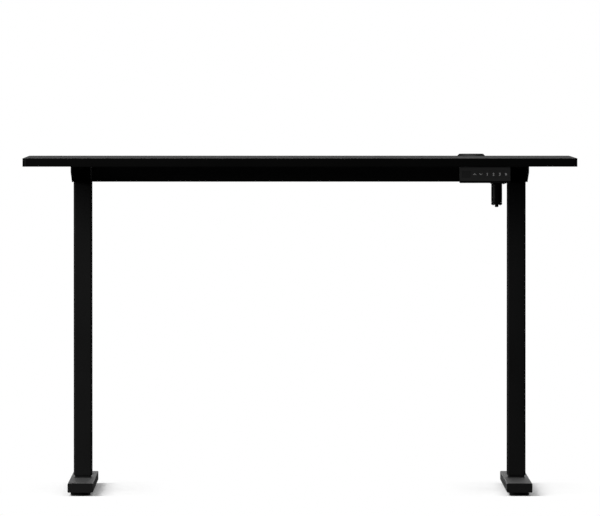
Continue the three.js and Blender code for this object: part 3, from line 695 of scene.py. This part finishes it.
def keypad():
    low, high, mid, size = span("keypad_housing")
    seam = low.y + STEP_DEPTH
    whole = rounded(size.x, size.z, HOUSING_CORNER)
    front = list(dict.fromkeys((x, max(z, STEP_HEIGHT - size.z / 2)) for x, z in whole))
    face = along(prism([(z, x) for x, z in front], low.y, seam - 0.1 * MM), "Y")
    face = soften(moved(face, (mid.x, 0, mid.z)), HOUSING_EDGE, 3)
    wells = [well(f"key_{KEYS[0]}", f"key_{KEYS[-1]}", KEY_WELL),
             well("display_lens", "display_lens", LENS_WELL)]
    piece("keypad_face", carved(face, *wells), KEYPAD, "upper_frame", "moulded_plastic", "keypad_housing")

    shell = moved(along(prism([(z, x) for x, z in whole], seam, high.y), "Y"), (mid.x, 0, mid.z))
    soften(shell, HOUSING_EDGE, 3)
    socket = block((mid.x - SOCKET_HALF, high.y - SOCKET_DEPTH, SOCKET_LOW),
                   (mid.x + SOCKET_HALF, high.y + MM, SOCKET_HIGH))
    places = [(x, mid.y + 3 * MM, low.z + SCREW_RECESS) for x in (low.x + SCREW_INSET, high.x - SCREW_INSET)]
    recesses = [moved(prism(circle(RECESS_RADIUS, 32), -2 * SCREW_RECESS, 0), place) for place in places]
    piece("keypad_shell", carved(shell, socket, *recesses), PLASTIC, "upper_frame", "moulded_plastic")
    screws("keypad_screws", lambda: cross_screw(2.6 * MM, 1.2 * MM), places, DOWN, BOLT, "upper_frame",
           "zinc_steel")
    pins = []
    for i in range(PIN_COUNT):
        x, z = mid.x + (i - (PIN_COUNT - 1) / 2) * PIN_PITCH, SOCKET_LOW + PIN_LIFT
        pins.append(block((x, high.y - SOCKET_DEPTH + 0.1 * MM, z),
                          (x + PIN_WIDTH, high.y - 2 * MM, z + PIN_WIDTH)))
    piece("keypad_pins", joined(*pins), GOLD, "upper_frame", "brass")

    low, high, mid, size = span("display_lens")
    lens = prism(rounded(size.z, size.x, MM), low.y, high.y)
    lens = moved(along(lens, "Y"), (mid.x, 0, mid.z))
    piece("display_window", soften(lens, 0.15 * MM), GLOSS, "upper_frame", "display_lens", "display_lens")
    for key in KEYS:
        key_cap(key)


def key_cap(key):
    """One key with its mark."""
    node = f"key_{key}"
    low, high, mid, size = span(node)
    cap = prism(rounded(size.z, size.x, MM), low.y, high.y)
    cap = moved(along(cap, "Y"), (mid.x, 0, mid.z))
    piece(f"{node}_cap", soften(cap, 0.25 * MM, 3), KEYPAD, f"{node}_body", "key_plastic", node)
    mark(key, low.y, mid)


def ribbon(points, width):
    """The outline of a bent stroke with square ends and mitred corners."""
    line = [Vector(point) for point in points]
    runs = [(b - a).normalized() for a, b in zip(line, line[1:])]
    line[0] -= runs[0] * width / 2
    line[-1] += runs[-1] * width / 2
    left, right = [], []
    for i, point in enumerate(line):
        before, after = runs[max(i - 1, 0)], runs[min(i, len(runs) - 1)]
        mitre = Vector((-(before + after).y, (before + after).x)).normalized()
        reach = width / 2 / max(mitre.dot(Vector((-after.y, after.x))), 0.6)
        left.append(tuple(point + mitre * reach))
        right.append(tuple(point - mitre * reach))
    return left + right[::-1]


# Strokes in units of half the mark's height, across and up.
MARKS = {
    "up": [(-1.1, -0.4), (0, 0.4), (1.1, -0.4)],
    "down": [(-1.1, 0.4), (0, -0.4), (1.1, 0.4)],
    "preset_1": [(-0.35, 0.6), (0.05, 1), (0.05, -1)],
    "preset_2": [(-0.5, 0.7), (-0.2, 1), (0.3, 1), (0.5, 0.65), (0.5, 0.35), (-0.5, -1), (0.55, -1)],
    "preset_3": [(-0.5, 1), (0.5, 1), (0, 0.2), (0.4, 0), (0.5, -0.4), (0.25, -0.95), (-0.5, -1)],
}
MARK_HALF = 2.5 * MM
MARK_STROKE = 1.05 * MM
RING_RADIUS = 1.6 * MM


def mark(key, face, mid):
    """A printed mark: a chevron, a numeral, or a ring on the memory key."""
    proud, sunk = face - 0.06 * MM, face + 0.05 * MM
    if key == "memory":
        outer, inner = (circle(RING_RADIUS + half, 32) for half in (MARK_STROKE / 2, -MARK_STROKE / 2))
        shape = prism(outer, proud, sunk, [inner])
    else:
        outline = ribbon([(x * MARK_HALF, z * MARK_HALF) for x, z in MARKS[key]], MARK_STROKE)
        shape = prism([(z, x) for x, z in outline], proud, sunk)
    shape = moved(along(shape, "Y"), (mid.x, 0, mid.z))
    piece(f"mark_{key}", shape, PRINT, f"key_{key}_body", "key_plastic")


# ---------------------------------------------------------------- control box

# Each socket: its y, width and height in mm, and its rows and columns of pins.
BOX_SOCKETS = ((115, 24, 18, 1, 3), (140, 12, 10, 2, 4), (156, 12, 10, 2, 4))
BOX_SOCKET_DEPTH, ROW_PITCH = 12 * MM, 4 * MM
PIN_HALF_WIDTH, PIN_HALF_HEIGHT, PIN_SPREAD = 0.5 * MM, MM, 0.7  # the spread is a part of the socket's width
VENTS, VENT_START, VENT_PITCH = 9, 14 * MM, 7 * MM
VENT_WIDTH, VENT_DEPTH, VENT_INSET = 2.6 * MM, 1.4 * MM, 12 * MM


def control_box():
    low, high, mid, size = span("control_box")
    body = moved(prism(rounded(size.x, size.y, 4 * MM), low.z, high.z), (mid.x, mid.y, 0))
    soften(body, 1.2 * MM, 3)
    tools, pins = [], []
    back = high.x - BOX_SOCKET_DEPTH
    for middle, width, height, rows, columns_of_pins in BOX_SOCKETS:
        y, w, h = middle * MM, width * MM, height * MM
        tools.append(block((back, y - w / 2, mid.z - h / 2), (high.x + MM, y + w / 2, mid.z + h / 2)))
        for row in range(rows):
            for column in range(columns_of_pins):
                py = y + (column - (columns_of_pins - 1) / 2) * w * PIN_SPREAD / columns_of_pins
                pz = mid.z + (row - (rows - 1) / 2) * ROW_PITCH
                pins.append(block((back + 0.1 * MM, py - PIN_HALF_WIDTH, pz - PIN_HALF_HEIGHT),
                                  (high.x - 3 * MM, py + PIN_HALF_WIDTH, pz + PIN_HALF_HEIGHT)))
    for i in range(VENTS):
        x = low.x + VENT_START + i * VENT_PITCH
        tools.append(block((x, low.y + VENT_INSET, low.z - MM),
                           (x + VENT_WIDTH, high.y - VENT_INSET, low.z + VENT_DEPTH)))
    piece("control_box_case", carved(body, *tools), PLASTIC, "upper_frame", "moulded_plastic", "control_box")
    piece("control_box_pins", joined(*pins), GOLD, "upper_frame", "brass")
    corners = [(x, y) for x in (low.x + 7 * MM, high.x - 18 * MM) for y in (low.y + 6 * MM, high.y - 6 * MM)]
    screws("control_box_screws", lambda: cross_screw(2.4 * MM, 1.2 * MM), [(x, y, low.z) for x, y in corners],
           DOWN, BOLT, "upper_frame", "zinc_steel")


# ---------------------------------------------------------------- studio

def camera():
    """A long lens a little above the desktop, tilted down to take in the feet."""
    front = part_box("desktop")[0].y
    data = bpy.data.cameras.new("camera")
    data.lens = FOCAL_LENGTH
    data.sensor_width = SENSOR
    data.clip_end = 200
    view = bpy.data.objects.new("camera", data)
    bpy.context.scene.collection.objects.link(view)
    view.location = (-CAMERA_LEFT, front - CAMERA_DISTANCE, CAMERA_HEIGHT)
    focal = FOCAL_LENGTH / SENSOR * FRAME_WIDTH
    tilt = math.atan(HORIZON_ABOVE_CENTRE / focal)
    yaw = math.atan(CAMERA_LEFT / CAMERA_DISTANCE) - math.atan(AIM_RIGHT / focal)
    view.rotation_euler = (math.pi / 2 - tilt, 0, -yaw)
    bpy.context.scene.camera = view


def foot_distance(nodes, links):
    """How far a point of the floor is from the middle line of the nearer foot."""
    place = nodes.new("ShaderNodeTexCoord")

    def vector(operation, first, second):
        step = nodes.new("ShaderNodeVectorMath")
        step.operation = operation
        links.new(first, step.inputs[0])
        if isinstance(second, tuple):
            step.inputs[1].default_value = second
        elif second:
            links.new(second, step.inputs[1])
        return step.outputs["Value"] if operation == "LENGTH" else step.outputs["Vector"]

    folded = vector("ABSOLUTE", vector("SUBTRACT", place.outputs["Object"], (SHADE_RIGHT, 0, 0)), None)
    offset = vector("SUBTRACT", folded, (FOOT_LINE, FOOT_END, 0))
    mirrored = vector("MULTIPLY", offset, (-1, 0, 0))
    return vector("LENGTH", vector("MAXIMUM", offset, mirrored), None)


def floor():
    """A pale floor, shaded round the feet and clear from below. It throws no light up onto the frame."""
    material, nodes, links, shader = new_material("studio_floor")
    cloud = noise(nodes, links, 3.0)
    ramp = nodes.new("ShaderNodeValToRGB")
    ramp.color_ramp.elements[0].color = (*grey(FLOOR_DARK), 1)
    ramp.color_ramp.elements[1].color = (*grey(FLOOR_LIGHT), 1)
    links.new(cloud, ramp.inputs["Fac"])
    links.new(ramp.outputs["Color"], shader.inputs["Base Color"])
    shader.inputs["Roughness"].default_value = 0.9
    shader.inputs["Specular IOR Level"].default_value = 0.1
    shader.inputs["Emission Color"].default_value = WHITE
    shader.inputs["Emission Strength"].default_value = FLOOR_GLOW
    fade = nodes.new("ShaderNodeMapRange")
    fade.interpolation_type = "SMOOTHSTEP"
    fade.inputs["From Min"].default_value = SHADE_NEAR
    fade.inputs["From Max"].default_value = SHADE_FAR
    links.new(foot_distance(nodes, links), fade.inputs["Value"])
    white = nodes.new("ShaderNodeEmission")
    mix = nodes.new("ShaderNodeMixShader")
    links.new(fade.outputs["Result"], mix.inputs["Fac"])
    links.new(shader.outputs["BSDF"], mix.inputs[1])
    links.new(white.outputs["Emission"], mix.inputs[2])
    geometry = nodes.new("ShaderNodeNewGeometry")
    clear = nodes.new("ShaderNodeBsdfTransparent")
    from_below = nodes.new("ShaderNodeMixShader")
    links.new(geometry.outputs["Backfacing"], from_below.inputs["Fac"])
    links.new(mix.outputs["Shader"], from_below.inputs[1])
    links.new(clear.outputs["BSDF"], from_below.inputs[2])
    output = next(node for node in nodes if node.type == "OUTPUT_MATERIAL")
    links.new(from_below.outputs["Shader"], output.inputs["Surface"])
    mesh = bpy.data.meshes.new("floor")
    corners = [(x * FLOOR_HALF, y * FLOOR_HALF, 0) for x, y in ((-1, -1), (1, -1), (1, 1), (-1, 1))]
    mesh.from_pydata(corners, [], [(0, 1, 2, 3)])
    mesh.materials.append(material)
    plane = bpy.data.objects.new("floor", mesh)
    bpy.context.scene.collection.objects.link(plane)
    plane.visible_diffuse = False
    plane.visible_glossy = False
    return plane


def sky():
    """White where the camera sees it, and a dim even studio for everything else."""
    world = bpy.data.worlds.new("studio")
    bpy.context.scene.world = world
    world.use_nodes = True
    nodes, links = world.node_tree.nodes, world.node_tree.links
    nodes.clear()
    output = nodes.new("ShaderNodeOutputWorld")
    seen = nodes.new("ShaderNodeBackground")
    seen.inputs["Color"].default_value = WHITE
    lit = nodes.new("ShaderNodeBackground")
    lit.inputs["Color"].default_value = WHITE
    lit.inputs["Strength"].default_value = STUDIO_FILL
    rays = nodes.new("ShaderNodeLightPath")
    mix = nodes.new("ShaderNodeMixShader")
    links.new(rays.outputs["Is Camera Ray"], mix.inputs["Fac"])
    links.new(lit.outputs[0], mix.inputs[1])
    links.new(seen.outputs[0], mix.inputs[2])
    links.new(mix.outputs[0], output.inputs["Surface"])


def group(name, things):
    """A set of objects that a light is linked to."""
    chosen = bpy.data.collections.new(name)
    for thing in things:
        chosen.objects.link(thing)
    return chosen


def softbox(name, place, target, size, power, lights_only, shadows_of=None, sheen=True):
    """An area light for one group. It can take its shadows from one group, and be left out of reflections."""
    data = bpy.data.lights.new(name, "AREA")
    data.shape = "RECTANGLE"
    data.size, data.size_y = size
    data.energy = power
    light = bpy.data.objects.new(name, data)
    bpy.context.scene.collection.objects.link(light)
    light.location = place
    light.rotation_euler = (Vector(target) - Vector(place)).to_track_quat("-Z", "Y").to_euler()
    light.visible_camera = False
    light.visible_glossy = sheen
    light.light_linking.receiver_collection = lights_only
    if shadows_of:
        light.light_linking.blocker_collection = shadows_of


def named(things, *starts):
    """The things whose names start in one of these ways."""
    return [thing for thing in things if thing.name.startswith(starts)]


def lights(plane):
    """A key from the upper left, soft lights behind, above and below, and a wash that whitens the floor."""
    shown = [thing for thing in bpy.context.scene.objects if thing.type == "MESH" and thing is not plane]
    motors = named(shown, "motor_")
    foot_tubes = named(shown, "foot_left", "foot_right")
    rear_caps = [thing for thing in named(shown, "foot_cap") if "rear" in thing.name]
    apart = [*motors, *foot_tubes, *rear_caps, *named(shown, "desktop_board", "cable_grommet")]
    everything = group("everything", shown)
    but_motor = group("all_but_motor", [thing for thing in shown if thing not in motors])
    frame_only = group("sides_and_back", [thing for thing in shown if thing not in apart])
    motor_only = group("motor", motors)
    board = group("board_top", named(shown, "desktop_board"))
    collar = group("grommet", named(shown, "cable_grommet"))
    tops = group("foot_tops", foot_tubes)
    low = group("near_floor", named(shown, "foot_", "levelling_pad_"))
    right_foot = group("right_foot", named(shown, "foot_right", "foot_cap_right_front"))
    heels = group("heels", [*foot_tubes, *rear_caps])
    pads = group("pads", named(shown, "levelling_pad_"))
    under = group("under_frame", named(shown, "crossbar_rear", "column_head", "gearbox", "control_box",
                                       "desktop_board", "drive_shaft"))
    arms = group("side_arms", named(shown, "side_arm"))
    inner = group("under_middle", named(shown, "crossbar_rear", "control_box", "desktop_board"))
    ground = group("ground", [plane])
    softbox("key", (-3.3, -3.8, 2.6), (0, 0, 0.35), (3.0, 3.4), 98, but_motor)
    softbox("motor_key", (-4.0, -1.9, 2.0), (0.43, 0, 0.65), (1.6, 3.0), 50, motor_only)
    softbox("glance", (0, 4.5, 1.4), (0, 0, 0.6), (6.0, 2.2), 23, board)
    softbox("collar_glance", (0, 4.5, 1.4), (0, 0, 0.6), (6.0, 2.2), 6, collar)
    softbox("low_glance", (0, 4.5, 1.6), (0, 0, 0), (6.0, 2.0), 38, tops, low)
    softbox("foot_fill", (0, 0, 3.0), (0, 0, 0), (3.0, 3.0), 330, tops, low, sheen=False)
    softbox("foot_side", (-0.9, 4.5, 0.35), (0.475, 0, 0), (1.6, 0.6), 6, right_foot, low)
    softbox("overhead", (0, 0.2, 3.6), (0, 0, 0.7), (3.2, 2.4), 60, everything)
    softbox("rear_left", (-4.0, 2.8, 1.6), (0, 0, 0.4), (2.4, 2.4), 280, frame_only, sheen=False)
    softbox("rear_right", (4.0, 2.8, 1.6), (0, 0, 0.4), (2.4, 2.4), 280, frame_only, sheen=False)
    softbox("heel_left", (-4.0, 2.8, 1.6), (0, 0, 0), (2.4, 2.4), 110, heels, sheen=False)
    softbox("heel_right", (4.0, 2.8, 1.6), (0, 0, 0), (2.4, 2.4), 110, heels, sheen=False)
    softbox("front_sheen", (0, -4.5, 2.2), (0, 0, 0.7), (5.0, 2.0), 60, board)
    softbox("bounce_rear", (0, 0.9, 0.05), (0, 0, 0.7), (2.2, 0.8), 14, under)
    softbox("bounce_arms", (0, 0.9, 0.05), (0, 0, 0.7), (2.2, 0.8), 14, arms, sheen=False)
    softbox("bounce_front", (0, -0.6, 0.05), (0, 0, 0.7), (2.2, 0.8), 6, inner)
    softbox("pad_light", (-1.6, -1.6, 0.25), (0, -0.3, 0), (0.6, 0.4), 5, pads)
    softbox("floor_wash", (-18.0, -9.0, 19.8), (0, 0, 0), (21.6, 21.6), 8850, ground, low)
    softbox("floor_dome", (0.2, -0.5, 3.0), (0, 0, 0), (6.0, 6.0), 122, ground, low)


dress_cad_nodes()
desktop()
grommet()
columns()
feet()
crossbars()
arm_screws()
motor()
gearbox_screws()
keypad()
control_box()
camera()
sky()
lights(floor())
bpy.context.scene.view_settings.view_transform = "Standard"
